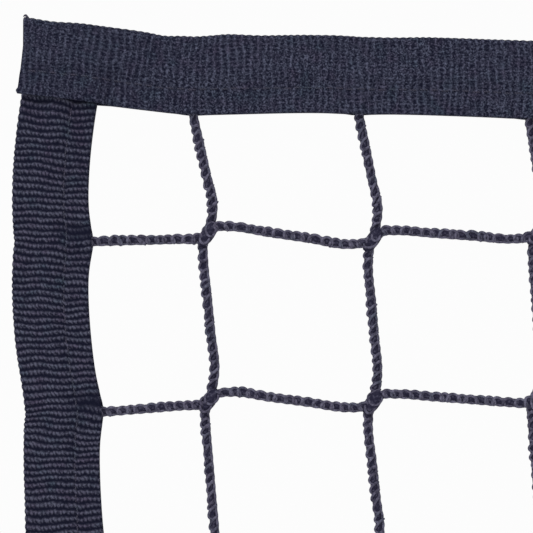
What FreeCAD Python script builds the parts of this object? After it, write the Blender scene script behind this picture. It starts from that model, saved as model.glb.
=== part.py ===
import FreeCAD, Part
import os

# A small recreational tennis net, hanging upright in the XZ plane.
# X runs along the net, Z is up and Y is its thickness, with the front face towards -Y.
# The origin is the middle of the head tape's folded top edge. All sizes are in millimetres.

# Netting: knotless square mesh of plaited cord.
CELL = 45.0            # joint to joint
CELLS_LONG = 66
CELLS_HIGH = 17
CORD = 2.8             # diameter of the plaited cord
COLUMNS_PER_NODE = 5

# Edge tapes: webbing folded over the net's border and sewn through both layers.
TAPE_WIDTH = 21.5      # fold to selvedge
WEBBING = 1.2          # thickness of one layer
CORD_ROOM = 0.2        # free space beside a cord between the two layers
SIDE_ROOM = 0.2        # free space on each side of a side tape inside the head or foot tape
PRESSED = 0.1          # how much thinner each face of a side tape is where it is inside them
STEP_LENGTH = 8.0      # length over which the head and foot tapes widen to take in a side tape

# Seams: one thread line in each face, sunk flush, at this distance from the selvedge.
SEAM_INSET = 6.6
THREAD_WIDTH = 0.6
THREAD_DEPTH = 0.3

HALF_CELLS = CELLS_LONG * CELL / 2
HALF_LENGTH = HALF_CELLS + TAPE_WIDTH / 2
HEIGHT = CELLS_HIGH * CELL + TAPE_WIDTH
TOP_ROW_Z = -TAPE_WIDTH / 2

# Half thicknesses across Y, measured from the net's middle plane.
THIN_INNER = (CORD + CORD_ROOM) / 2
THIN_OUTER = THIN_INNER + WEBBING
WIDE_INNER = THIN_OUTER + SIDE_ROOM
WIDE_OUTER = WIDE_INNER + WEBBING
FOLD_ROUNDING = 0.85   # share of a tape's half thickness that its fold is rounded by

X_AXIS = FreeCAD.Vector(1, 0, 0)
Z_AXIS = FreeCAD.Vector(0, 0, 1)


def save(name, shape):
    if not shape.isValid():
        raise ValueError(name + " is not a valid shape")
    shape.exportStep("parts/" + name + ".step")
    print(name, len(shape.Solids), "solids,", round(shape.Volume), "mm3")


def mirrored_end_to_end(shape):
    """The same shape at the other end of the net, on the same face."""
    return shape.mirror(FreeCAD.Vector(0, 0, 0), X_AXIS)


def mirrored_top_to_bottom(shape):
    return shape.mirror(FreeCAD.Vector(0, 0, -HEIGHT / 2), Z_AXIS)


# ---- Edge tapes ----

def folded_profile(half_thickness, fold_x, open_x):
    """A flat strip with one round end at fold_x, as a face in the XY plane."""
    towards_mouth = 1 if open_x > fold_x else -1
    centre_x = fold_x + towards_mouth * half_thickness
    front = FreeCAD.Vector(centre_x, -half_thickness, 0)
    back = FreeCAD.Vector(centre_x, half_thickness, 0)
    front_edge = FreeCAD.Vector(open_x, -half_thickness, 0)
    back_edge = FreeCAD.Vector(open_x, half_thickness, 0)
    edges = [
        Part.Arc(back, FreeCAD.Vector(fold_x, 0, 0), front).toShape(),
        Part.LineSegment(front, front_edge).toShape(),
        Part.LineSegment(front_edge, back_edge).toShape(),
        Part.LineSegment(back_edge, back).toShape(),
    ]
    return Part.Face(Part.Wire(edges))


def side_bar(half_thickness, fold_x, bottom_z, top_z):
    """The solid inside a left side tape's fold profile, between two heights."""
    profile = folded_profile(half_thickness, fold_x, -HALF_LENGTH + TAPE_WIDTH)
    bar = profile.extrude(Z_AXIS * (top_z - bottom_z))
    bar.translate(Z_AXIS * bottom_z)
    return bar


def left_side_tape():
    """Webbing folded over the net's left edge. Both its ends are inside the head and foot tapes."""
    end_gap = WEBBING + SIDE_ROOM
    bottom_z, top_z = end_gap - HEIGHT, -end_gap
    hidden_length = TAPE_WIDTH + SIDE_ROOM
    pressed = side_bar(THIN_OUTER - PRESSED, -HALF_LENGTH + PRESSED, bottom_z, top_z)
    in_the_open = side_bar(THIN_OUTER, -HALF_LENGTH, hidden_length - HEIGHT, -hidden_length)
    inside = side_bar(THIN_INNER, -HALF_LENGTH + WEBBING, bottom_z, top_z)
    return pressed.fuse(in_the_open).cut(inside)


def stepped_outline(thin_y, wide_y):
    """Half the plan of a long tape, front side, that widens near both ends over the side tapes."""
    wide_x = HALF_LENGTH - TAPE_WIDTH - SIDE_ROOM
    thin_x = wide_x - STEP_LENGTH
    return [
        FreeCAD.Vector(-HALF_LENGTH, -wide_y, 0),
        FreeCAD.Vector(-wide_x, -wide_y, 0),
        FreeCAD.Vector(-thin_x, -thin_y, 0),
        FreeCAD.Vector(thin_x, -thin_y, 0),
        FreeCAD.Vector(wide_x, -wide_y, 0),
        FreeCAD.Vector(HALF_LENGTH, -wide_y, 0),
    ]


def stepped_bar(thin_y, wide_y, top_z):
    """A bar with the stepped plan on both faces, from the selvedge up to a rounded top at top_z."""
    front = stepped_outline(thin_y, wide_y)
    back = [FreeCAD.Vector(point.x, -point.y, 0) for point in reversed(front)]
    outline = Part.makePolygon(front + back + front[:1])
    bar = Part.Face(outline).extrude(Z_AXIS * (top_z + TAPE_WIDTH))
    bar.translate(Z_AXIS * -TAPE_WIDTH)
    long_top_edges = [
        edge for edge in bar.Edges
        if abs(edge.BoundBox.ZMin - top_z) < 0.001 and edge.BoundBox.XLength > 1
    ]
    return bar.makeFillet(thin_y * FOLD_ROUNDING, long_top_edges)


def head_tape():
    outside = stepped_bar(THIN_OUTER, WIDE_OUTER, 0)
    inside = stepped_bar(THIN_INNER, WIDE_INNER, -WEBBING)
    return outside.cut(inside)


# ---- Seams: a needle thread in the front face and a bobbin thread in the back ----

def with_bobbin_thread(needle):
    """The needle thread of the front face and its mirror image in the back face."""
    return Part.makeCompound([needle, needle.mirror(FreeCAD.Vector(0, 0, 0), FreeCAD.Vector(0, 1, 0))])


def left_seam():
    hidden_length = TAPE_WIDTH + SIDE_ROOM
    needle = Part.makeBox(THREAD_WIDTH, THREAD_DEPTH, HEIGHT - 2 * hidden_length)
    x = -HALF_LENGTH + TAPE_WIDTH - SEAM_INSET
    needle.translate(FreeCAD.Vector(x, -THIN_OUTER, hidden_length - HEIGHT))
    return with_bobbin_thread(needle)


def head_seam():
    surface = stepped_outline(THIN_OUTER, WIDE_OUTER)
    bottom = stepped_outline(THIN_OUTER - THREAD_DEPTH, WIDE_OUTER - THREAD_DEPTH)
    outline = Part.makePolygon(surface + bottom[::-1] + surface[:1])
    needle = Part.Face(outline).extrude(Z_AXIS * THREAD_WIDTH)
    needle.translate(Z_AXIS * (SEAM_INSET - TAPE_WIDTH))
    return with_bobbin_thread(needle)


# ---- Netting ----
# At each joint the strands of the row pass in front of the strands of the column,
# so each cord is halved there and the joint is no thicker than one cord.

def row_cord():
    """One run of cord along the whole net at z = 0, halved at the back of every joint."""
    overrun = CORD / 2
    cord = Part.makeCylinder(
        CORD / 2, 2 * (HALF_CELLS + overrun), FreeCAD.Vector(-HALF_CELLS - overrun, 0, 0), X_AXIS
    )
    notches = []
    for number in range(CELLS_LONG + 1):
        notch = Part.makeBox(CORD, CORD, CORD)
        notch.translate(FreeCAD.Vector(-HALF_CELLS + number * CELL - CORD / 2, 0, -CORD / 2))
        notches.append(notch)
    return cord.cut(notches)


def column_cord():
    """One run of cord from head to foot at x = 0, halved at the front of every joint."""
    overrun = CORD / 2
    bottom_z = TOP_ROW_Z - CELLS_HIGH * CELL - overrun
    cord = Part.makeCylinder(
        CORD / 2, CELLS_HIGH * CELL + 2 * overrun, FreeCAD.Vector(0, 0, bottom_z), Z_AXIS
    )
    notches = []
    for number in range(CELLS_HIGH + 1):
        notch = Part.makeBox(CORD, CORD, CORD)
        notch.translate(FreeCAD.Vector(-CORD / 2, -CORD, TOP_ROW_Z - number * CELL - CORD / 2))
        notches.append(notch)
    return cord.cut(notches)


def moved(shape, x, z):
    copy = shape.copy()
    copy.translate(FreeCAD.Vector(x, 0, z))
    return copy


def save_rows():
    row = row_cord()
    save("edge_row_top", moved(row, 0, TOP_ROW_Z))
    for number in range(1, CELLS_HIGH):
        save("mesh_row_%02d" % number, moved(row, 0, TOP_ROW_Z - number * CELL))
    save("edge_row_bottom", moved(row, 0, TOP_ROW_Z - CELLS_HIGH * CELL))


def save_columns():
    column = column_cord()
    save("edge_column_left", moved(column, -HALF_CELLS, 0))
    first = 1
    while first < CELLS_LONG:
        last = min(first + COLUMNS_PER_NODE, CELLS_LONG)
        group = [moved(column, number * CELL - HALF_CELLS, 0) for number in range(first, last)]
        save("mesh_columns_%02d_%02d" % (first, last - 1), Part.makeCompound(group))
        first = last
    save("edge_column_right", moved(column, HALF_CELLS, 0))


def save_tapes_and_seams():
    """Each tape has a groove that its own seam's threads fill."""
    long_seam = head_seam()
    long_tape = head_tape().cut(long_seam)
    save("head_tape", long_tape)
    save("head_tape_seam", long_seam)
    save("foot_tape", mirrored_top_to_bottom(long_tape))
    save("foot_tape_seam", mirrored_top_to_bottom(long_seam))

    side_seam = left_seam()
    side_tape = left_side_tape().cut(side_seam)
    save("left_side_tape", side_tape)
    save("left_tape_seam", side_seam)
    save("right_side_tape", mirrored_end_to_end(side_tape))
    save("right_tape_seam", mirrored_end_to_end(side_seam))


os.makedirs("parts", exist_ok=True)
save_tapes_and_seams()
save_rows()
save_columns()
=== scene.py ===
import bpy
import math
import numpy as np
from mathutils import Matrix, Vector


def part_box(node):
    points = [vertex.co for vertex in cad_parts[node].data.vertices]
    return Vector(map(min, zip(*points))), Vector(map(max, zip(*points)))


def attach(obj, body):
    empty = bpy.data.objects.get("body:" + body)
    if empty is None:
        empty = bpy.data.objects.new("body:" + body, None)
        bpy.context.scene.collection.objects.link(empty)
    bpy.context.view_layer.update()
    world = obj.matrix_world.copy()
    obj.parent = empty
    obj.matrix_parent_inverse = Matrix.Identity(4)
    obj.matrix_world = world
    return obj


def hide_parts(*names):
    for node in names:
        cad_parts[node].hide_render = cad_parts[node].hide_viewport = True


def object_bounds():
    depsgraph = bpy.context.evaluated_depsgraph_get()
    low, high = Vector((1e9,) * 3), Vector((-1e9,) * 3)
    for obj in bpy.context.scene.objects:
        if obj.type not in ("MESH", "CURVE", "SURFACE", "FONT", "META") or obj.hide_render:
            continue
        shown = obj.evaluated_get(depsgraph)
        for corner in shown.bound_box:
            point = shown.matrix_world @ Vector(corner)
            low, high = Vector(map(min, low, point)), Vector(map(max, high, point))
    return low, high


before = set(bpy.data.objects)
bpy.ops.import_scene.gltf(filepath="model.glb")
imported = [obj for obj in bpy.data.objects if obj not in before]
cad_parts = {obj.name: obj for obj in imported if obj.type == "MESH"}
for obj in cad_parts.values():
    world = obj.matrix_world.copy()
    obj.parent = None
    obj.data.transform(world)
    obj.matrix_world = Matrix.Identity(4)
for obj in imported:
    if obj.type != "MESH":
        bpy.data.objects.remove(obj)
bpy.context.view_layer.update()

random = np.random.default_rng(7)
MM = 0.001

# ---- Sizes and places, from the frame ----

head_low, head_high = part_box("head_tape")
foot_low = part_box("foot_tape")[0]
side_low, side_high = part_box("left_side_tape")
row_low, row_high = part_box("mesh_row_01")
next_row_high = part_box("mesh_row_02")[1]
border_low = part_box("edge_column_left")[0]

CORD = row_high.z - row_low.z
CELL = row_high.z - next_row_high.z
TAPE_WIDTH = side_high.x - side_low.x
LEFT_X = border_low.x + CORD / 2        # the border column, in the middle of the left side tape
TOP_Z = row_high.z - CORD / 2 + CELL    # the border row, in the middle of the head tape
CELLS_LONG = round((head_high.x - head_low.x - TAPE_WIDTH) / CELL)
CELLS_HIGH = round((head_high.z - foot_low.z - TAPE_WIDTH) / CELL)

# ---- Sizes that only the looks need ----

STITCH = 2.6 * MM          # one chain stitch of the cord
CORE_YARN = 0.95 * MM      # radius of the straight core that the loops hold
INLAY_YARN = 0.46 * MM     # radius of the yarns laid along one side and the back
JOINT_DEPTH = 0.45 * MM    # rows pass in front of columns by twice this
KNOT_YARN = 0.36 * MM      # radius of the yarn in the loops on a joint
KNOT_BODY = 1.92 * MM      # radius of the joint where the two cords lock
KNOT_TIP = 0.6 * MM        # the same at the joint's two ends

# How the chain's loops lie in rows and in columns, which are turned a little differently:
# height and half-length of a loop, how far its outer end trails, the radius of its yarn, and
# which side of the cord it bumps out on.
ROW_LOOPS = {
    "reach": 1.01 * MM, "swing": 0.88 * MM, "trail": 0.22, "yarn": 0.41 * MM, "bump_side": 1,
}
COLUMN_LOOPS = {
    "reach": 1.10 * MM, "swing": 0.62 * MM, "trail": -0.50, "yarn": 0.37 * MM, "bump_side": -1,
}

WEBBING = 1.1 * MM         # one layer of tape
FOLD_RADIUS = 1.6 * MM
FLAT_HALF = 1.35 * MM      # half the thickness of the two layers sewn flat
BORDER_BULGE = 1.1 * MM    # where the border cord lies between the layers
ENTRY_BULGE = 1.2 * MM     # where a cord comes in between the layers
ENTRY_CREASE = 0.45 * MM   # the dent beside it
OVERLAP_BULGE = 2.7 * MM   # where the head and foot tapes wrap a side tape
SEAM_INSET = 6.6 * MM      # seam to selvedge
HEAD_RIB = 1.88 * MM       # pitch of the ribs across the head and foot tapes
SIDE_RIB = 1.85 * MM       # pitch of the ribs across the side tapes
YARN = 1.2 * MM            # pitch of the warp yarns along a tape
END_SEAL = 0.35 * MM       # how far a tape's cut end is rounded

# How far the tapes run on beyond the netting's corner, past half a tape's width: the head and foot
# tapes a little further, and the side tapes less far, so that they stop short inside them.
OUTER_END = 1.2 * MM
INNER_END = -1.5 * MM

# The place of each material in a piece of cord.
YARN_SLOT, CORD_SLOT, CORE_SLOT = range(3)

FINE_CELLS = 4             # cells from the upper left corner that get yarn by yarn detail


# ---- The lie of the slack net: how far each joint is from its place on a square grid ----

def slack_field():
    """Offsets in metres of every joint along X, Y and Z, as arrays indexed by column and row."""
    waves = 4
    unevenness = 0.3 * MM
    column = np.arange(CELLS_LONG + 1)[:, None]
    row = np.arange(CELLS_HIGH + 1)[None, :]
    offsets = np.zeros((3, CELLS_LONG + 1, CELLS_HIGH + 1))
    amplitudes = np.array([1.3, 3.0, 1.1]) * MM
    for axis in range(3):
        for wave in range(waves):
            along = random.uniform(0.15, 0.55)
            down = random.uniform(0.15, 0.6)
            phase = random.uniform(0, 2 * math.pi)
            offsets[axis] += amplitudes[axis] / 2 * np.sin(along * column + down * row + phase)
    offsets[0] += random.normal(0, unevenness, offsets[0].shape)
    offsets[2] += random.normal(0, unevenness, offsets[2].shape)
    offsets[1] *= np.minimum(1.0, (column + 3) / 8.0)
    return offsets


def pull_edges(offsets):
    """The edge tapes lie in slower, deeper waves than the netting."""
    row = np.arange(CELLS_HIGH + 1)
    column = np.arange(CELLS_LONG + 1)
    for edge, sign in ((0, 1), (CELLS_LONG, -1)):
        phase = random.uniform(0, 2 * math.pi)
        offsets[0, edge] = sign * MM * (2.2 + 3.0 * np.sin(0.75 * row + phase) + 1.2 * np.sin(1.7 * row))
    for edge in (0, CELLS_HIGH):
        phase = random.uniform(0, 2 * math.pi)
        offsets[2, :, edge] = MM * (1.8 * np.sin(0.42 * column + phase) + 1.0 * np.sin(0.93 * column))


def pull_corner(offsets):
    """The upper left corner lies as its own small waves have it: offsets in millimetres, X then Z."""
    corner = {
        (0, 0): (6.0, 3.0), (1, 0): (-4.4, -0.9), (2, 0): (-3.5, -0.8), (3, 0): (-1.3, -2.0),
        (0, 1): (2.2, -1.9), (0, 2): (5.0, -4.1), (0, 3): (6.9, -3.9), (0, 4): (5.5, -2.0),
        (1, 1): (-0.2, 0.3), (2, 1): (0.55, -1.1), (3, 1): (1.1, 0.5),
        (1, 2): (0.3, -0.7), (2, 2): (0.5, -1.1), (3, 2): (0.8, 0.2),
        (1, 3): (0.6, -0.3), (2, 3): (0.9, -0.3), (3, 3): (0.5, 0.2),
    }
    for (column, row), (x, z) in corner.items():
        offsets[0, column, row] = x * MM
        offsets[2, column, row] = z * MM


def joint_places():
    """Where every joint of the netting is, as an array [column, row, xyz]."""
    offsets = slack_field()
    pull_edges(offsets)
    pull_corner(offsets)
    places = np.zeros((CELLS_LONG + 1, CELLS_HIGH + 1, 3))
    places[:, :, 0] = LEFT_X + CELL * np.arange(CELLS_LONG + 1)[:, None] + offsets[0]
    places[:, :, 1] = offsets[1]
    places[:, :, 2] = TOP_Z - CELL * np.arange(CELLS_HIGH + 1)[None, :] + offsets[2]
    return places


joints = joint_places()


# ---- Curves ----

def smooth_path(points, step):
    """A smooth curve through points, sampled about every step, with the distance along it."""
    points = np.asarray(points, float)
    spans = np.linalg.norm(np.diff(points, axis=0), axis=1)
    knots = np.concatenate([[0.0], np.cumsum(spans)])
    slopes = np.gradient(points, knots, axis=0)
    along = np.linspace(0, knots[-1], max(2, round(knots[-1] / step)) + 1)
    piece = np.clip(np.searchsorted(knots, along, side="right") - 1, 0, len(points) - 2)
    width = spans[piece][:, None]
    t = ((along - knots[piece]) / spans[piece])[:, None]
    curve = (
        (2 * t**3 - 3 * t**2 + 1) * points[piece]
        + (t**3 - 2 * t**2 + t) * width * slopes[piece]
        + (3 * t**2 - 2 * t**3) * points[piece + 1]
        + (t**3 - t**2) * width * slopes[piece + 1]
    )
    return curve, along


def directions(curve):
    """Unit vectors along a curve, and in the net's plane to its left as seen from the front."""
    tangent = np.gradient(curve, axis=0)
    tangent /= np.linalg.norm(tangent, axis=1)[:, None]
    side = np.cross(tangent, [0.0, 1.0, 0.0])
    side /= np.maximum(np.linalg.norm(side, axis=1), 1e-9)[:, None]
    return tangent, side


# ---- Meshes ----

class MeshParts:
    """Grids of quads gathered into one mesh, each with its own material index and weave coordinates."""

    def __init__(self):
        self.points = []
        self.quads = []
        self.uvs = []
        self.materials = []
        self.pressed_shade = []
        self.count = 0

    def add_grid(self, grid, uv, material=0, pressed_shade=None):
        """grid is [along, around, xyz], closed around. uv is [along, around + 1, 2].

        material is the place of its material in the piece. The last argument is [along, around]: how far
        the webbing is smoothed and darkened with painted shade."""
        length, around = grid.shape[:2]
        row = np.arange(length - 1)[:, None]
        col = np.arange(around)[None, :]
        after = (col + 1) % around
        base = self.count
        quads = np.stack([
            base + row * around + col,
            base + row * around + after,
            base + (row + 1) * around + after,
            base + (row + 1) * around + col,
        ], axis=-1).reshape(-1, 4)
        corners = np.stack([
            uv[:-1, :-1], uv[:-1, 1:], uv[1:, 1:], uv[1:, :-1]
        ], axis=2).reshape(-1, 4, 2)
        if signed_volume(grid) < 0:
            quads = quads[:, ::-1]
            corners = corners[:, ::-1]
        self.points.append(grid.reshape(-1, 3))
        self.quads.append(quads)
        self.uvs.append(corners)
        self.materials.append(np.full(len(quads), material))
        self.pressed_shade.append(np.zeros(length * around) if pressed_shade is None else pressed_shade.ravel())
        self.count += length * around

    def build(self, name, materials):
        """The gathered grids as one smooth object in the scene."""
        points = np.concatenate(self.points)
        quads = np.concatenate(self.quads)
        uvs = np.concatenate(self.uvs)
        mesh = bpy.data.meshes.new(name)
        mesh.vertices.add(len(points))
        mesh.vertices.foreach_set("co", points.astype(np.float32).ravel())
        mesh.loops.add(quads.size)
        mesh.loops.foreach_set("vertex_index", quads.astype(np.int32).ravel())
        mesh.polygons.add(len(quads))
        mesh.polygons.foreach_set("loop_start", np.arange(0, quads.size, 4, dtype=np.int32))
        mesh.polygons.foreach_set("material_index", np.concatenate(self.materials).astype(np.int32))
        layer = mesh.uv_layers.new(name="weave")
        layer.data.foreach_set("uv", uvs.astype(np.float32).ravel())
        # A point attribute for the painted shade beside entering cords, where the weave is also
        # flattened.
        layer = mesh.attributes.new("pressed_shade", "FLOAT", "POINT")
        layer.data.foreach_set("value", np.concatenate(self.pressed_shade).astype(np.float32))
        mesh.update(calc_edges=True)
        mesh.polygons.foreach_set("use_smooth", np.ones(len(quads), bool))
        for material in materials:
            mesh.materials.append(material)
        piece = bpy.data.objects.new(name, mesh)
        bpy.context.scene.collection.objects.link(piece)
        return piece


def signed_volume(grid):
    """Positive if the grid's quads, wound along then around, face outwards."""
    centre = grid.mean(axis=1, keepdims=True)
    outward = grid - centre
    around = np.roll(grid, -1, axis=1) - grid
    forward = np.gradient(grid, axis=0)
    return float(np.sum(np.cross(around, forward) * outward))


def tube(curve, radius, sides, uv_scale):
    """A round tube along a curve, as a closed grid with its weave coordinates."""
    tangent, side = directions(curve)
    up = np.cross(side, tangent)
    angle = np.linspace(0, 2 * math.pi, sides, endpoint=False)[None, :, None]
    radius = np.broadcast_to(radius, len(curve))[:, None, None]
    grid = curve[:, None] + radius * (np.cos(angle) * side[:, None] + np.sin(angle) * up[:, None])
    steps = np.linalg.norm(np.diff(curve, axis=0), axis=1)
    along = np.concatenate([[0.0], np.cumsum(steps)])
    uv = np.zeros((len(curve), sides + 1, 2))
    uv[:, :, 0] = (along / uv_scale)[:, None]
    uv[:, :, 1] = np.linspace(0, 1, sides + 1)[None, :]
    return grid, uv


# ---- Netting cord ----

# How a cord passes a joint, in millimetres from the joint's middle, X then Z. Both cords run up the
# joint's slant together: the row comes in low and leaves high, and the column comes in right from
# above and leaves left.
ROW_PASS = ((-6.6, -1.4), (-3.2, -1.3), (0.0, 0.3), (2.8, 2.1), (6.2, 2.3))
COLUMN_PASS = ((1.4, 8.0), (1.1, 3.8), (0.0, 0.2), (-1.2, -3.2), (-1.2, -7.0))


def cord_route(stops, passing, depth):
    """Control points of one run of cord from border to border, straight between its joints.

    Inside a tape it starts out nearly square to the border, then turns to its first joint."""
    wobble = random.normal(0, 0.15, (len(stops), len(passing), 2))
    first_way = (stops[1] - stops[0]) / np.linalg.norm(stops[1] - stops[0])
    last_way = (stops[-1] - stops[-2]) / np.linalg.norm(stops[-1] - stops[-2])
    square = np.round(first_way)
    squareness = 0.8
    start_way = squareness * square + (1 - squareness) * first_way
    end_way = squareness * square + (1 - squareness) * last_way
    points = [stops[0], stops[0] + 0.5 * TAPE_WIDTH * start_way]
    for number, stop in enumerate(stops[1:-1], start=1):
        for place, (x, z) in enumerate(passing):
            close = 1.0 if 0 < place < len(passing) - 1 else 0.0
            shift_x, shift_z = wobble[number, place]
            point = stop + MM * np.array([x + shift_x, 0, z + shift_z]) + [0, depth * close, 0]
            if place == 0:
                leaving = points[-1]
                points.append(leaving + (point - leaving) / 3)
                points.append(leaving + (point - leaving) * 2 / 3)
            points.append(point)
    points.append(stops[-1] - 0.5 * TAPE_WIDTH * end_way)
    points.append(stops[-1])
    return np.array(points)


def on_cord(curve, along, place, lateral, depth):
    """Points beside a cord's middle line: place along it, then to its side, then behind it."""
    side = directions(curve)[1]
    middle = np.stack([np.interp(place, along, curve[:, k]) for k in range(3)], axis=1)
    beside = np.stack([np.interp(place, along, side[:, k]) for k in range(3)], axis=1)
    return middle + beside * np.reshape(lateral, (-1, 1)) + np.outer(depth, [0.0, 1.0, 0.0])


def chain_loops(curve, along, start, end, loops):
    """The yarn of a row of chain stitches: a line of round loops, each crossing the one before.

    Every loop has its own size, place along the cord, trail and height, drawn about their means."""
    stitches = round((end - start) / STITCH)
    points_per_stitch = 22
    count = np.linspace(0, stitches, points_per_stitch * stitches + 1)
    turn = 2 * math.pi * count
    means_and_spreads = ((1.0, 0.13), (0, 0.18), (loops["trail"], 0.22), (0, 0.14))
    swell, drift, trail, lift = (
        np.interp(count, np.arange(stitches + 2), random.normal(mean, spread, stitches + 2))
        for mean, spread in means_and_spreads
    )
    outward = 0.10 * MM - loops["reach"] * swell * np.cos(turn)
    place = start + STITCH * (count + drift) - loops["swing"] * np.sin(turn) - trail * outward
    depth = MM * (lift - 0.55 + 0.5 * np.cos(turn) ** 2 - 0.15 * np.sin(turn))
    return on_cord(curve, along, place, loops["bump_side"] * outward, depth)


def fine_cord(parts, curve, along, start, end, loops):
    """A stretch of cord yarn by yarn: looped chain, a core coloured dark as painted shade under the
    loops, and yarns laid in along two sides.
    """
    chain = chain_loops(curve, along, start, end, loops)
    parts.add_grid(*tube(chain, loops["yarn"], 7, STITCH), material=YARN_SLOT)
    core_place = np.arange(start, end, STITCH / 3)
    core_side = 0 * core_place + 0.15 * MM * loops["bump_side"]
    core = on_cord(curve, along, core_place, core_side, 0 * core_place + 0.35 * MM)
    # The core takes the dark core material: painted shade under the loops.
    parts.add_grid(*tube(core, CORE_YARN, 8, STITCH), material=CORE_SLOT)
    inlay_place = np.arange(start, end, STITCH / 6)
    weave = np.sin(2 * math.pi * inlay_place / STITCH + 0.8 * np.sin(inlay_place / (7 * MM)))
    edge = -loops["bump_side"] * (0.90 + 0.12 * weave) * MM
    edge_yarn = on_cord(curve, along, inlay_place, edge, (0.25 - 0.25 * weave) * MM)
    edge_radius = INLAY_YARN * (1 - 0.12 * weave)
    parts.add_grid(*tube(edge_yarn, edge_radius, 7, STITCH), material=YARN_SLOT)
    back = loops["bump_side"] * (0.25 + 0.2 * weave) * MM
    back_yarn = on_cord(curve, along, inlay_place, back, (0.85 + 0 * weave) * MM)
    parts.add_grid(*tube(back_yarn, INLAY_YARN, 6, STITCH), material=YARN_SLOT)


def plain_cord(parts, curve, along, start, end):
    """A stretch of the same cord as one lobed tube, with its stitches as bumps on both sides."""
    rings_per_stitch = 3
    sides = 6
    half = 0.88 * CORD / 2
    flatness = 0.85
    place = np.linspace(start, end, max(2, round((end - start) / STITCH * rings_per_stitch)) + 1)
    turn = 2 * math.pi * place / STITCH
    middle = on_cord(curve, along, place, 0.22 * MM * np.sin(turn), 0.12 * MM * np.cos(2 * turn))
    tangent, side = directions(on_cord(curve, along, place, 0 * place, 0 * place))
    up = np.cross(side, tangent)
    angle = np.linspace(0, 2 * math.pi, sides, endpoint=False)[None, :, None]
    swell = 1 + 0.1 * np.cos(2 * turn)[:, None, None]
    grid = middle[:, None] + half * swell * np.cos(angle) * side[:, None]
    grid = grid + flatness * half * np.sin(angle) * up[:, None]
    uv = np.zeros((len(place), sides + 1, 2))
    uv[:, :, 0] = (place / STITCH)[:, None]
    uv[:, :, 1] = np.linspace(0, 1, sides + 1)[None, :]
    parts.add_grid(grid, uv, material=CORD_SLOT)


def add_knot(parts, stop, is_near):
    """A joint where the two cords lock: a bound body up its slant, coloured as the core's painted shade,
    and near the corner its loops too.
    """
    low = np.array([-2.2, 0, -3.3]) * MM
    high = np.array([2.3, 0, 3.0]) * MM
    t = np.linspace(0, 1, 17 if is_near else 7)
    fullness = np.sin(math.pi * t) ** 0.5
    body = KNOT_TIP + (KNOT_BODY * random.normal(1.0, 0.04) - KNOT_TIP) * fullness
    spine = stop + low + np.outer(t, high - low)
    # The body takes the core's painted-shade colour.
    parts.add_grid(*tube(spine, body, 10, STITCH), material=CORE_SLOT)
    if is_near:
        for face in (-1, 1):
            for spot in (0.30, 0.66):
                add_knot_loop(parts, stop + low, high - low, face, spot)


def add_knot_loop(parts, low, rise, face, spot):
    """A loop of yarn lying on a joint's body. Its upper end is sunk in the body, so that a U shows."""
    slant = rise / np.linalg.norm(rise)
    across = np.cross(slant, [0.0, 1.0, 0.0])
    turn = np.linspace(0, 2 * math.pi, 33)
    centre = low + (spot + random.normal(0, 0.03)) * rise
    reach = 1.35 * MM * random.normal(1.0, 0.08)
    lengthways = 1.2 * reach * np.cos(turn + random.normal(0, 0.3))
    sideways = reach * np.sin(turn)
    lift = np.sqrt(np.maximum(KNOT_BODY**2 - sideways**2, 0)) - 0.15 * MM
    lift = lift - 1.3 * MM * np.clip(np.cos(turn - 0.5) + 0.15, 0, 1)
    loop = centre + np.outer(lengthways, slant) + np.outer(sideways, across)
    loop = loop + np.outer(face * lift, [0, 1, 0])
    parts.add_grid(*tube(loop, KNOT_YARN, 8, STITCH), material=YARN_SLOT)


def add_cord(parts, stops, passing, depth, loops, is_near):
    """One whole run of cord, in full detail near the upper left corner."""
    curve, along = smooth_path(cord_route(stops, passing, depth), 0.6 * MM)
    switch = 0.0
    if is_near:
        gap = np.linalg.norm(curve - stops[FINE_CELLS], axis=1)
        switch = along[int(np.argmin(gap))]
        fine_cord(parts, curve, along, 0.0, switch, loops)
    plain_cord(parts, curve, along, switch, along[-1])


def make_row(number, name):
    """One run of cord along the net, with the joints that lie on it."""
    parts = MeshParts()
    is_near = 0 < number <= FINE_CELLS
    add_cord(parts, joints[:, number], ROW_PASS, -JOINT_DEPTH, ROW_LOOPS, is_near)
    if 0 < number < CELLS_HIGH:
        for column in range(1, CELLS_LONG):
            add_knot(parts, joints[column, number], is_near and column <= FINE_CELLS)
    finish_cord(parts, name)


def make_columns(numbers, name):
    """Some neighbouring runs of cord from head to foot, as one piece."""
    parts = MeshParts()
    for number in numbers:
        is_near = 0 < number <= FINE_CELLS
        add_cord(parts, joints[number], COLUMN_PASS, JOINT_DEPTH, COLUMN_LOOPS, is_near)
    finish_cord(parts, name)


def finish_cord(parts, name):
    """One piece of netting, with its materials in the order of their slots."""
    piece = parts.build(name + "_cord", [yarn_material, cord_material, core_shade_material])
    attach(piece, "root")
    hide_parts(name)


# ---- Tape ----

def past(value, edge, width):
    """0 well before edge and 1 well after it, changing smoothly over a few widths."""
    return 0.5 + 0.5 * np.tanh((value - edge) / (2 * width))


def hump(value, middle, spread):
    """1 at middle, fading to 0 both ways over spread."""
    return np.exp(-(((value - middle) / spread) ** 2))


def half_thickness(place, across, tape):
    """Half the folded tape's thickness. place is along it and across is from its fold."""
    half = FLAT_HALF + BORDER_BULGE * hump(across, TAPE_WIDTH / 2, 3.2 * MM)
    half = half - tape.seam_dent * hump(across, tape.seam_at, 0.45 * MM)
    reach = past(across, 0.55 * TAPE_WIDTH, 0.9 * MM)
    crease_gap = 3.4 * MM
    for entry in tape.entries:
        if place.min() - 0.01 < entry < place.max() + 0.01:
            half = half + ENTRY_BULGE * reach * hump(place, entry, 2.8 * MM)
            half = half - ENTRY_CREASE * reach * hump(place, entry - crease_gap, 1.2 * MM)
    ramp = 1.1 * MM + 3.0 * MM * np.clip(1 - across / (0.7 * TAPE_WIDTH), 0, 1)
    for start, end in tape.wraps:
        half = half + OVERLAP_BULGE * (past(place, start, ramp) - past(place, end, ramp))
    return half


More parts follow.
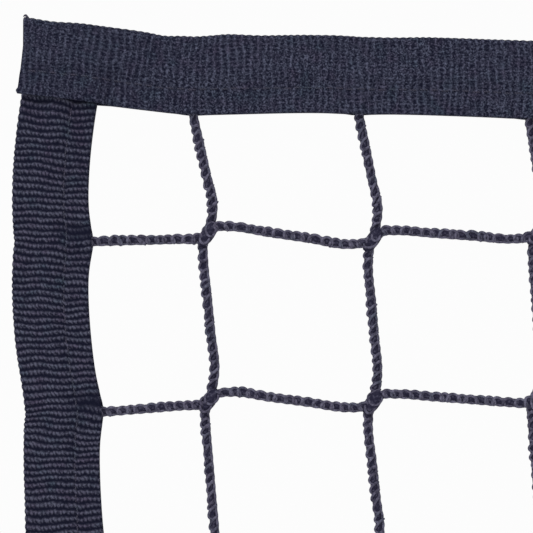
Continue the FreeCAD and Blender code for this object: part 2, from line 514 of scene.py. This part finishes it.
def weave_height(ribs, yarns):
    """Height from 0 to 1 of the woven face, from places counted in ribs and in yarns."""
    rib_wave = np.abs(np.sin(math.pi * ribs)) ** 1.2
    yarn_wave = np.abs(np.sin(math.pi * (yarns + 0.4 * (ribs % 1)))) ** 0.8
    return rib_wave * (0.6 + 0.4 * yarn_wave)


def woven_places(place, across, tape):
    """Where each point of a tape's face is in its weave, counted in ribs and in yarns.

    The ribs run across the tape, a little aslant, and the seam breaks them. Slow waves in both
    counts keep the weave from looking machined."""
    slant = tape.slant(place)
    past_seam = past(across, tape.seam_at, 0.25 * MM)
    inner_part = np.maximum(across - tape.seam_at, 0)
    level = np.interp(place, tape.along, tape.tilt) * (across - TAPE_WIDTH / 2)
    ribs = place - level + slant * np.minimum(across, tape.seam_at) - 0.25 * slant * inner_part
    ribs = ribs / tape.rib - tape.seam_dent / MM * past_seam
    ribs = ribs + 0.10 * np.sin(across / (1.7 * MM) + 3.0 * np.sin(place / (9 * MM)))
    ribs = ribs + 0.16 * np.sin(place / (6.3 * MM))
    ribs = ribs + 0.12 * np.sin(place / (2.9 * MM) + across / (5 * MM))
    yarns = across / YARN + 0.25 * np.sin(place / (5.1 * MM)) + 0.15 * np.sin(place / (1.9 * MM))
    return ribs, yarns


def edge_spine(stops, outward, scallops, overhang):
    """The middle line of an edge tape. It bellies outwards between the cords that hold it in."""
    first = stops[0] + (stops[0] - stops[1]) * overhang / np.linalg.norm(stops[0] - stops[1])
    last = stops[-1] + (stops[-1] - stops[-2]) * overhang / np.linalg.norm(stops[-1] - stops[-2])
    curve, along = smooth_path([first, *stops, last], 0.5 * MM)
    chords = np.linalg.norm(np.diff([first, *stops], axis=0), axis=1)
    stop_at = np.cumsum(chords)
    cells = np.interp(along, stop_at, np.arange(len(stops)))
    number = np.minimum(cells.astype(int), len(stops) - 2)
    phase = cells - number
    curve = curve + (scallops[number] * 4 * phase * (1 - phase))[:, None] * np.asarray(outward)
    return curve, along, stop_at


def smoothed(values, reach):
    """A moving average down the columns of values, over reach samples each way."""
    kernel = np.hanning(2 * reach + 3)[1:-1]
    kernel /= kernel.sum()
    padded = np.pad(values, ((reach, reach), (0, 0)), mode="edge")
    return np.stack([np.convolve(padded[:, k], kernel, "valid") for k in range(values.shape[1])], axis=1)


def fold_wave(along, corner_waves):
    """How far the folded edge stands out, all along a tape, in small waves of its own.

    corner_waves has the place, height and spread in millimetres of each wave at the tape's start."""
    waves = list(corner_waves)
    first_place = 150 if waves else 30
    spacing = 40
    for place in np.arange(first_place, along[-1] / MM, spacing):
        waves.append((place + random.uniform(-12, 12), random.normal(0, 0.35), random.uniform(4, 10)))
    wave = 0 * along
    for place, height, spread in waves:
        wave = wave + height * MM * hump(along / MM, place, spread)
    return wave


class Tape:
    """One edge tape: its middle line, which way its mouth faces, and what lies between its layers.

    The head and foot tapes are the outer ones, since they wrap the ends of the side tapes."""

    def __init__(self, stops, outward, scallops, slant, is_outer, waves=()):
        self.overhang = TAPE_WIDTH / 2 + (OUTER_END if is_outer else INNER_END)
        curve, self.along, stop_at = edge_spine(stops, outward, scallops, self.overhang)
        self.curve = curve
        tangent, side = directions(curve)
        self.tangent = smoothed(tangent, 12)
        inward = smoothed(side, 12)
        self.inward = inward * (-1 if np.dot(side[0], outward) > 0 else 1)
        levelling = 0.3 if is_outer else 0.85      # how level the ribs stay where the tape leans
        self.tilt = levelling * smoothed(tangent, 60) @ -np.asarray(outward, float)
        self.rib = HEAD_RIB if is_outer else SIDE_RIB
        self.relax = (0.15 if is_outer else 0.7) * MM      # the mouth's slack between cords
        self.seam_dent = (0.05 if is_outer else 0.3) * MM  # how deep the seam pulls the webbing in
        self.press_shade = 0.0 if is_outer else 0.85             # how smooth it is beside an entering cord, and how dark with painted shade
        self.relief = (0.22 if is_outer else 0.30) * MM    # height of the weave
        self.wave = fold_wave(self.along, waves)
        self.slant = slant
        self.length = self.along[-1]
        self.entries = stop_at[1:-1] if is_outer else stop_at
        self.wraps = []
        if is_outer:
            covered = self.overhang + TAPE_WIDTH / 2 + 1 * MM
            well_past = 20 * MM
            self.wraps = [(-well_past, covered), (self.length - covered, self.length + well_past)]
        self.seam_at = TAPE_WIDTH - SEAM_INSET

    def world(self, place, across, depth, lean=0.0):
        """The point at a place along the tape, across from its fold, and depth behind its middle."""
        middle = np.stack([np.interp(place, self.along, self.curve[:, k]) for k in range(3)], axis=-1)
        inward = np.stack([np.interp(place, self.along, self.inward[:, k]) for k in range(3)], axis=-1)
        tangent = np.stack([np.interp(place, self.along, self.tangent[:, k]) for k in range(3)], axis=-1)
        slack = self.relax * across / TAPE_WIDTH * (1 - self.nearness(place))
        wave = np.interp(place, self.along, self.wave) * (1 - across / TAPE_WIDTH)
        offset = (across - TAPE_WIDTH / 2 - slack - wave)[..., None]
        point = middle + inward * offset + tangent * np.asarray(lean)[..., None]
        return point + depth[..., None] * [0, 1, 0]

    def pressed_shade(self, place, across):
        """How far the webbing is smoothed and darkened with painted shade, from 0 to 1: most in the
        crease beside a cord that enters its mouth, and a little over the tape's start."""
        flat_and_dark_start = 0.15 * (1 - past(place, 40 * MM, 4 * MM))
        reach = past(across, 0.62 * TAPE_WIDTH, 1.3 * MM)
        amount = 0 * place
        for entry in self.entries[1:]:
            amount = amount + hump(place, entry - 2.2 * MM, 1.9 * MM)
        return self.press_shade * reach * np.minimum(amount, 1.0) + flat_and_dark_start

    def nearness(self, place):
        """1 where a cord pulls the tape's mouth inwards, fading to 0 between the cords."""
        nearest = np.searchsorted(self.entries, place)
        before = self.entries[np.clip(nearest - 1, 0, len(self.entries) - 1)]
        after = self.entries[np.clip(nearest, 0, len(self.entries) - 1)]
        gap = np.minimum(np.abs(place - before), np.abs(after - place))
        return hump(gap, 0, 6.5 * MM)


def tape_section(front_count, back_count):
    """Points round the section of the folded webbing.

    For each point it gives the distance from the fold, the face (-1 front, 1 back) and the depth in
    the layer (0 outside, 1 inside)."""
    bend = FOLD_RADIUS * (1 - np.cos(np.linspace(0, math.pi / 2, 7)))
    front = np.concatenate([np.linspace(TAPE_WIDTH, FOLD_RADIUS, front_count)[:-1], bend[::-1]])
    back = np.concatenate([bend[1:], np.linspace(FOLD_RADIUS, TAPE_WIDTH, back_count)[1:]])
    inner_back = np.array([TAPE_WIDTH, 0.7 * TAPE_WIDTH, 0.4 * TAPE_WIDTH, 1.8 * MM])
    inner_fold = np.array([WEBBING])
    edge = np.array([TAPE_WIDTH + 0.2 * MM])      # the selvedge is a little rounded
    across = np.concatenate([front, back, edge, inner_back, inner_fold, inner_back[::-1], edge])
    face = np.concatenate([
        -np.ones(len(front)), np.ones(len(back) + 1), np.ones(len(inner_back)),
        np.zeros(1), -np.ones(len(inner_back) + 1),
    ])
    face[len(front) - 1] = 0.0
    depth = np.concatenate([
        np.zeros(len(front) + len(back)), [0.5], np.ones(2 * len(inner_back) + 1), [0.5]
    ])
    return across, face, depth


def add_tape_length(parts, tape, start, end, steps_per_rib, front_count, back_count, end_line):
    """One stretch of a tape, woven face and all, closed at both ends."""
    across, face, depth = tape_section(front_count, back_count)
    count = max(2, round((end - start) / tape.rib * steps_per_rib))
    place = np.linspace(start, end, count + 1)
    before = [start - END_SEAL, start - 0.6 * END_SEAL]
    after = [end + 0.6 * END_SEAL, end + END_SEAL]
    place = np.concatenate([before, place, after])
    thin = np.ones(len(place))
    thin[[0, -1]] = 0.05
    thin[[1, -2]] = 0.6
    place, across_grid = np.broadcast_arrays(place[:, None], across[None, :])
    half = half_thickness(place, across_grid, tape)
    layer = np.minimum(WEBBING, half - 0.05 * MM)
    middle = half - layer / 2
    level = middle + (0.5 - depth[None, :]) * layer * thin[:, None]
    fold_start = np.where(depth == 1, WEBBING, 0.0)
    bend = np.where(depth == 1, 0.6 * MM, FOLD_RADIUS)
    to_fold = np.clip(1 - (across - fold_start) / bend, 0, 1)
    roundness = np.sqrt(1 - to_fold**2)
    ribs, yarns = woven_places(place, across_grid, tape)
    selvedge = np.clip((TAPE_WIDTH - across) / (0.5 * MM), 0, 1)[None, :]
    from_end = np.clip(np.minimum(place, tape.length - place) / (1.2 * MM), 0, 1)
    outer = (depth == 0)[None, :] * selvedge * from_end
    relief = tape.relief * (weave_height(ribs, yarns) - 0.55) * outer
    y = face[None, :] * roundness[None, :] * (level + relief)
    across_out = across_grid - relief * to_fold[None, :]
    lean = end_line(place, across_grid)
    grid = tape.world(place, across_out, y, lean)
    uv = np.zeros((grid.shape[0], grid.shape[1] + 1, 2))
    uv[:, :-1, 0] = ribs
    uv[:, -1, 0] = ribs[:, 0]
    uv[:, :-1, 1] = yarns
    uv[:, -1, 1] = yarns[:, 0]
    parts.add_grid(grid, uv, pressed_shade=tape.pressed_shade(place, across_grid) * (face < 0))


def square_end(place, across):
    """A tape's end cut straight."""
    return np.zeros(np.broadcast(place, across).shape)


def make_tape(tape, name, material, fine_length, end_line=square_end):
    """A whole edge tape, with every yarn modelled over the first fine_length of it."""
    parts = MeshParts()
    if fine_length:
        fine = {"steps_per_rib": 6, "front_count": 92, "back_count": 8}
        add_tape_length(parts, tape, END_SEAL, fine_length, **fine, end_line=end_line)
    join = 0.5 * MM if fine_length else END_SEAL
    plain = {"steps_per_rib": 2, "front_count": 9, "back_count": 9}
    add_tape_length(parts, tape, fine_length + join, tape.length - END_SEAL, **plain, end_line=square_end)
    piece = parts.build(name + "_webbing", [material])
    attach(piece, "root")
    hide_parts(name)


# ---- Seams ----

def make_seam(tape, name, margin):
    """A lockstitch: short threads that dip into the webbing, on the front and on the back.

    margin is what the seam leaves free at each end of the tape."""
    parts = MeshParts()
    stitch = 2.9 * MM
    radius = 0.24 * MM * np.array([0.5, 1, 1, 1, 1, 0.5])
    rings = len(radius)
    starts = np.arange(margin, tape.length - margin - stitch, stitch)
    run = np.linspace(0, 1, rings)
    for face in (-1, 1):
        place = (starts[:, None] + stitch * (0.03 + 0.94 * run[None, :])).ravel()
        waver = 0.12 * MM * np.sin(2.1 * np.repeat(starts, rings) / stitch)
        across = np.full(place.shape, tape.seam_at) + waver
        dip = np.tile(0.45 * MM * (np.abs(2 * run - 1) ** 3), len(starts))
        level = half_thickness(place, across, tape) + 0.02 * MM - dip
        centres = tape.world(place, across, face * level).reshape(len(starts), rings, 3)
        for centre in centres:
            parts.add_grid(*tube(centre, radius, 5, stitch))
    if name == "head_tape_seam":
        make_loose_thread(parts, tape)
    piece = parts.build(name + "_stitches", [thread_material])
    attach(piece, "root")
    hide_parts(name)


# ---- Materials ----

class NodeMaker:
    """Short calls for building a material out of nodes. Inputs may be numbers, colours or sockets."""

    def __init__(self, name):
        self.material = bpy.data.materials.new(name)
        self.material.use_nodes = True
        self.tree = self.material.node_tree
        self.shader = self.tree.nodes["Principled BSDF"]

    def node(self, kind, inputs=None, **settings):
        made = self.tree.nodes.new(kind)
        for key, value in settings.items():
            setattr(made, key, value)
        for key, value in (inputs or {}).items():
            if isinstance(value, bpy.types.NodeSocket):
                self.tree.links.new(value, made.inputs[key])
            else:
                made.inputs[key].default_value = value
        return made

    def math(self, operation, first, second=0.0, third=0.0):
        made = self.node("ShaderNodeMath", {0: first, 1: second, 2: third}, operation=operation)
        return made.outputs[0]

    def mix(self, factor, first, second):
        """A colour from first to second. A mix node has an input A and B for each type of value."""
        made = self.node("ShaderNodeMix", data_type="RGBA")
        for key, value in {"Factor": factor, "A": first, "B": second}.items():
            named = [socket for socket in made.inputs if socket.name == key]
            socket = named[0] if key == "Factor" else next(s for s in named if s.type == "RGBA")
            if isinstance(value, bpy.types.NodeSocket):
                self.tree.links.new(value, socket)
            else:
                socket.default_value = value
        return next(socket for socket in made.outputs if socket.type == "RGBA")

    def noise(self, scale, detail=2.0):
        """Noise in the model's own space, from about 0.3 to 0.7. scale is in patches per metre."""
        place = self.node("ShaderNodeTexCoord").outputs["Object"]
        made = self.node("ShaderNodeTexNoise", {"Vector": place, "Scale": scale, "Detail": detail})
        return made.outputs["Fac"]

    def weave(self):
        """The weave coordinates of the mesh: along, then across or around."""
        uv = self.node("ShaderNodeUVMap", uv_map="weave").outputs["UV"]
        split = self.node("ShaderNodeSeparateXYZ", {"Vector": uv})
        return split.outputs["X"], split.outputs["Y"]

    def arches(self, count, power):
        """Rounded humps from 0 to 1, one for each whole number."""
        wave = self.math("ABSOLUTE", self.math("SINE", self.math("MULTIPLY", count, math.pi)))
        return self.math("POWER", wave, power)

    def jittered(self, value, scale, amount):
        """value, pushed up and down by up to about half of amount."""
        push = self.math("MULTIPLY", self.math("SUBTRACT", self.noise(scale, 1.0), 0.5), 2 * amount)
        return self.math("ADD", value, push)

    def stretched(self, value, low, high):
        """value carried from low..high to 0..1, and held there."""
        made = self.node("ShaderNodeMapRange", {"Value": value, "From Min": low, "From Max": high})
        return made.outputs["Result"]

    def tint(self, base):
        """base, drifting a little towards plum and towards teal over a few millimetres."""
        towards_plum = self.math("MULTIPLY", self.stretched(self.noise(260, 2.0), 0.45, 0.75), 0.6)
        towards_teal = self.math("MULTIPLY", self.stretched(self.noise(210, 2.0), 0.52, 0.8), 0.6)
        return self.mix(towards_teal, self.mix(towards_plum, base, PLUM_DRIFT), TEAL_DRIFT)

    def bump(self, height, distance, strength):
        inputs = {"Height": height, "Distance": distance, "Strength": strength}
        return self.node("ShaderNodeBump", inputs).outputs["Normal"]

    def finish(self, colour, roughness, normal, gloss):
        self.tree.links.new(colour, self.shader.inputs["Base Color"])
        self.tree.links.new(roughness, self.shader.inputs["Roughness"])
        self.tree.links.new(normal, self.shader.inputs["Normal"])
        self.shader.inputs["Specular IOR Level"].default_value = gloss
        return self.material


# Painted shade: the darkest navy, put in the hollows of the weave and between the plies of the thread.
NAVY_PAINTED_SHADE = (0.0050, 0.0055, 0.0150, 1)
HEAD_LIT = (0.081, 0.088, 0.133, 1)
SIDE_LIT = (0.079, 0.081, 0.119, 1)
# Painted shade: the cord's core and the joints' bodies, coloured as if in the loops' shade.
CORE_PAINTED_SHADE = (0.013, 0.012, 0.028, 1)
# Painted shade and dark tone: the holes of the lobed cord, the gaps between filaments, and random darker
# patches.
CORD_DARK_AND_SHADE = (0.016, 0.015, 0.032, 1)
CORD_LIT = (0.136, 0.130, 0.190, 1)
THREAD_LIT = (0.045, 0.045, 0.070, 1)
PLUM_DRIFT = (0.060, 0.044, 0.080, 1)
TEAL_DRIFT = (0.030, 0.062, 0.085, 1)


def make_head_webbing():
    """Ribbed navy webbing pulled tight: fine pale lines and rungs with small hollows between, painted
    dark as shade.
    """
    make = NodeMaker("navy_webbing_tight")
    ribs, yarns = make.weave()
    ribs = make.jittered(ribs, 420, 0.38)
    yarns = make.jittered(yarns, 700, 0.75)
    lines = make.math("MULTIPLY", make.arches(ribs, 4.0), 0.8)
    rungs = make.math("MULTIPLY", make.arches(make.math("ADD", yarns, 0.5), 2.0), 0.55)
    hollow = make.math("MULTIPLY", make.math("SUBTRACT", 1.0, lines), make.math("SUBTRACT", 1.0, rungs))
    ladder = make.math("SUBTRACT", 1.0, hollow)
    specks = make.stretched(make.noise(2000, 1.5), 0.42, 0.62)
    disorder = make.stretched(make.noise(38, 1.0), 0.30, 0.62)
    disorder = make.math("MULTIPLY_ADD", disorder, 0.30, 0.30)
    kept = make.math("MULTIPLY", ladder, make.math("SUBTRACT", 1.0, disorder))
    height = make.math("POWER", make.math("MULTIPLY_ADD", specks, disorder, kept), 1.7)
    return finish_webbing(make, height, HEAD_LIT, 0.9)


def make_side_webbing():
    """The same webbing lying loose: each rib a pale line with a row of short yarns hanging from it, and
    painted shade between.
    """
    make = NodeMaker("navy_webbing_loose")
    ribs, yarns = make.weave()
    ribs = make.jittered(ribs, 900, 0.24)
    row_shift = make.math("MULTIPLY", make.math("FLOOR", ribs), 0.37)
    lean = make.math("MULTIPLY_ADD", make.math("FRACT", ribs), -0.35, row_shift)
    hanging = make.arches(make.math("ADD", make.jittered(yarns, 900, 0.7), lean), 1.8)
    line = make.math("MULTIPLY", make.arches(make.math("ADD", ribs, 0.10), 5.0), 0.36)
    rows = make.arches(make.math("SUBTRACT", ribs, 0.03), 2.4)
    height = make.math("MULTIPLY_ADD", rows, make.math("MULTIPLY", hanging, 0.8), line)
    height = make.math("MINIMUM", height, 1.0)
    return finish_webbing(make, height, SIDE_LIT, 1.0)


def finish_webbing(make, height, lit_colour, speckle):
    """Colour and relief of webbing from the height of its weave, with single fibres over it. The colour
    is painted light and shade: lit navy on the crests, painted shade in the hollows.
    """
    # Painted shade: beside an entering cord the weave is flattened and its colour pulled down to the
    # painted-shade navy.
    pressed_shade = make.node("ShaderNodeAttribute", attribute_name="pressed_shade").outputs["Fac"]
    height = make.math("MULTIPLY", height, make.math("SUBTRACT", 1.0, pressed_shade))
    specks = make.stretched(make.noise(2300, 2.0), 0.34, 0.66)
    shade_and_speckle = make.math("MULTIPLY", height, make.math("MULTIPLY_ADD", specks, speckle, 1 - speckle / 2))
    # Painted light and shade: the weave's crests take the lit colour and its hollows the painted shade.
    colour = make.mix(shade_and_speckle, NAVY_PAINTED_SHADE, make.tint(lit_colour))
    fibres = make.noise(5200, 2.0)
    relief = make.math("MULTIPLY_ADD", fibres, 0.3, height)
    roughness = make.stretched(fibres, -1.6, 1.0)
    return make.finish(colour, roughness, make.bump(relief, 0.25 * MM, 0.6), 0.04)


def make_yarn_material():
    """One yarn of the cord: bundled filaments twisted along it, with painted shade between the filaments
    and darker patches at random.
    """
    make = NodeMaker("navy_cord_yarn")
    along, around = make.weave()
    twist = make.math("MULTIPLY_ADD", around, 5.0, make.math("MULTIPLY", along, 3.0))
    filaments = make.arches(twist, 0.8)
    patches = make.stretched(make.noise(1100, 3.0), 0.28, 0.72)
    shade_and_speckle = make.math("MULTIPLY", make.math("MULTIPLY_ADD", filaments, 0.4, 0.7), patches)
    # Painted shade between the filaments, with random darker patches.
    colour = make.mix(shade_and_speckle, CORD_DARK_AND_SHADE, make.tint(CORD_LIT))
    roughness = make.stretched(make.noise(4000), -1.2, 1.0)
    return make.finish(colour, roughness, make.bump(filaments, 0.08 * MM, 0.6), 0.22)


def make_core_shade_material():
    """The core of the cord, coloured dark as painted shade for the shade its loops cast, with a few lit
    flecks.
    """
    make = NodeMaker("navy_cord_core_shade")
    along, around = make.weave()
    twist = make.arches(make.math("MULTIPLY_ADD", around, 4.0, along), 1.0)
    flecks = make.math("MULTIPLY", twist, make.stretched(make.noise(1300, 2.0), 0.45, 0.75))
    colour = make.mix(make.math("MULTIPLY", flecks, 0.45), CORE_PAINTED_SHADE, CORD_LIT)
    roughness = make.stretched(make.noise(4000), -2.0, 1.0)
    return make.finish(colour, roughness, make.bump(twist, 0.1 * MM, 0.5), 0.1)


def make_cord_material():
    """The same cord where it is one lobed tube: pale yarns crossing it, with painted shade between them
    where the loops leave holes.
    """
    make = NodeMaker("navy_cord")
    along, around = make.weave()
    lean = make.math("SINE", make.math("MULTIPLY", around, 2 * math.pi))
    bands = make.math("SUBTRACT", 1.0, make.arches(make.math("MULTIPLY_ADD", lean, 0.18, along), 0.7))
    speckle = make.math("MULTIPLY", make.noise(1100, 3.0), 0.35)
    # Painted light and shade: the pale yarn bands lit, the holes between them painted dark.
    colour = make.mix(make.math("MULTIPLY_ADD", bands, 0.6, speckle), CORD_DARK_AND_SHADE, make.tint(CORD_LIT))
    roughness = make.stretched(make.noise(4000), -1.2, 1.0)
    return make.finish(colour, roughness, make.bump(bands, 0.25 * MM, 0.8), 0.22)


def make_thread_material():
    """Sewing thread of the same navy, plied along its length, with painted shade between the plies."""
    make = NodeMaker("navy_thread")
    along, around = make.weave()
    plies = make.arches(make.math("MULTIPLY_ADD", around, 2.0, make.math("MULTIPLY", along, 4.0)), 0.8)
    # Painted shade between the plies.
    colour = make.mix(plies, NAVY_PAINTED_SHADE, make.tint(THREAD_LIT))
    roughness = make.stretched(make.noise(4000), -1.0, 1.0)
    return make.finish(colour, roughness, make.bump(plies, 0.06 * MM, 0.6), 0.2)


def make_floor_material():
    """Pale and a little mottled."""
    make = NodeMaker("pale_floor")
    mottled = make.mix(make.noise(3.0, 4.0), (0.86, 0.86, 0.86, 1), (0.92, 0.92, 0.92, 1))
    roughness = make.stretched(make.noise(9.0), -1.5, 1.0)
    return make.finish(mottled, roughness, make.bump(make.noise(400.0), 0.05 * MM, 0.2), 0.2)


head_webbing = make_head_webbing()
side_webbing = make_side_webbing()
yarn_material = make_yarn_material()
core_shade_material = make_core_shade_material()
cord_material = make_cord_material()
thread_material = make_thread_material()


# ---- The net ----

def corner_end_line(place, across):
    """The head tape's left end is cut a little hollow, with a nub where the selvedge ends."""
    down = across / TAPE_WIDTH
    hollow = 0.45 * MM * hump(down, 0.42, 0.24)
    flare = 0.55 * MM * past(down, 0.72, 0.06) + 0.6 * MM * hump(down, 0.97, 0.035)
    turned = 1.5 * MM * (down - 0.5)
    fade = np.clip(1 - place / (9 * MM), 0, 1) ** 2
    return (hollow - flare + turned) * fade


def no_slant(place):
    """Ribs square to the tape."""
    return np.zeros_like(place)


def head_slant(place):
    """The head tape's ribs lean a little one way and the other."""
    return 0.04 * np.sin(place / (23 * MM))


def side_slant(place):
    """The ribs of the left side tape hang aslant below the head tape, as far as the first cord."""
    first_cord = 58 * MM
    return 0.10 * past(place, first_cord, 1.5 * MM) - 0.10 + 0.03 * np.sin(place / (17 * MM))


def scallops(count, mean, spread):
    """How far a tape bellies out between each two cords, drawn in millimetres."""
    return MM * np.clip(random.normal(mean, spread, count), 0.05, None)


def make_loose_thread(parts, tape):
    """The end of the sewing thread, standing up from the corner of the head tape in a small hook."""
    corner = tape.world(np.array([0.4 * MM]), np.array([0.8 * MM]), np.array([-0.5 * MM]))[0]
    hook = np.array([
        (0.9, 0, -1.0), (0.2, -0.3, 0), (-0.3, -0.4, 0.8), (-0.9, -0.4, 1.4), (-1.5, -0.3, 1.1),
    ])
    curve, along = smooth_path(corner + hook * MM, 0.12 * MM)
    taper = np.interp(along / along[-1], [0, 0.8, 1], [0.36, 0.32, 0.15]) * MM
    parts.add_grid(*tube(curve, taper, 8, 2 * MM))


def make_tapes():
    """The four tapes and their seams. The first few bellies and waves follow the photographed corner."""
    fine_length = FINE_CELLS * CELL
    left_scallops = scallops(CELLS_HIGH, 1.4, 0.2)
    left_scallops[:3] = np.array([1.4, 1.2, 1.2]) * MM
    head_scallops = scallops(CELLS_LONG, 0.35, 0.12)
    head_scallops[:3] = np.array([0.05, 0.6, 0.25]) * MM
    foot_scallops = scallops(CELLS_LONG, 0.35, 0.12)
    right_scallops = scallops(CELLS_HIGH, 1.4, 0.2)
    head_waves = ((7, -0.40, 5), (38, -0.50, 4), (57, 0.62, 6), (101, -0.35, 8))
    head = Tape(joints[:, 0], (0, 0, 1), head_scallops, head_slant, is_outer=True, waves=head_waves)
    foot = Tape(joints[:, -1], (0, 0, -1), foot_scallops, no_slant, is_outer=True)
    left = Tape(joints[0], (-1, 0, 0), left_scallops, side_slant, is_outer=False)
    right = Tape(joints[-1], (1, 0, 0), right_scallops, no_slant, is_outer=False)
    make_tape(head, "head_tape", head_webbing, fine_length, corner_end_line)
    make_tape(foot, "foot_tape", head_webbing, fine_length=0)
    make_tape(left, "left_side_tape", side_webbing, fine_length)
    make_tape(right, "right_side_tape", side_webbing, fine_length=0)
    make_seam(head, "head_tape_seam", margin=2 * MM)
    make_seam(foot, "foot_tape_seam", margin=2 * MM)
    make_seam(left, "left_tape_seam", margin=TAPE_WIDTH)
    make_seam(right, "right_tape_seam", margin=TAPE_WIDTH)


def make_netting():
    """Every run of cord. The frame's names say which columns are one piece."""
    make_row(0, "edge_row_top")
    for number in range(1, CELLS_HIGH):
        make_row(number, "mesh_row_%02d" % number)
    make_row(CELLS_HIGH, "edge_row_bottom")
    make_columns([0], "edge_column_left")
    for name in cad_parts:
        if name.startswith("mesh_columns_"):
            first, last = (int(number) for number in name.split("_")[2:])
            make_columns(range(first, last + 1), name)
    make_columns([CELLS_LONG], "edge_column_right")


make_tapes()
make_netting()


# ---- Floor, light and camera ----

def make_floor():
    """A pale floor just under the hanging net."""
    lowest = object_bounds()[0].z
    bpy.ops.mesh.primitive_circle_add(vertices=96, radius=3.0, fill_type="NGON")
    floor = bpy.context.object
    floor.name = "floor"
    floor.location = ((head_low.x + head_high.x) / 2, 0, lowest - 5 * MM)
    floor.data.materials.append(make_floor_material())


def make_world():
    """A plain white studio all round, shown without a film look."""
    world = bpy.data.worlds.new("white_studio")
    bpy.context.scene.world = world
    world.use_nodes = True
    background = world.node_tree.nodes["Background"]
    background.inputs["Color"].default_value = (1, 1, 1, 1)
    background.inputs["Strength"].default_value = 0.975
    bpy.context.scene.view_settings.view_transform = "Standard"


def add_light(name, place, target, size, power):
    """A round soft light of some watts, turned to its target."""
    light = bpy.data.lights.new(name, "AREA")
    light.shape = "DISK"
    light.size = size
    light.energy = power
    lamp = bpy.data.objects.new(name, light)
    bpy.context.scene.collection.objects.link(lamp)
    lamp.location = place
    lamp.rotation_euler = (target - lamp.location).to_track_quat("-Z", "Y").to_euler()


def add_camera():
    """Square on to the upper left corner, close up, so near that the picture is view_width wide."""
    view_width = 147.2 * MM
    view_centre = Vector((LEFT_X + CELL + 16.15 * MM, 0, TOP_Z - CELL - 8.7 * MM))
    camera = bpy.data.cameras.new("camera")
    camera.lens = 85
    camera.clip_start = 0.01
    holder = bpy.data.objects.new("camera", camera)
    bpy.context.scene.collection.objects.link(holder)
    distance = view_width * camera.lens / camera.sensor_width
    holder.location = view_centre - Vector((0, distance, 0))
    holder.rotation_euler = (math.pi / 2, 0, 0)
    bpy.context.scene.camera = holder


make_floor()
make_world()
add_camera()
first_joint = Vector((LEFT_X + CELL, 0, TOP_Z - CELL))
add_light("key", first_joint + Vector((-0.5, -0.9, 0.7)), first_joint, size=0.5, power=6)
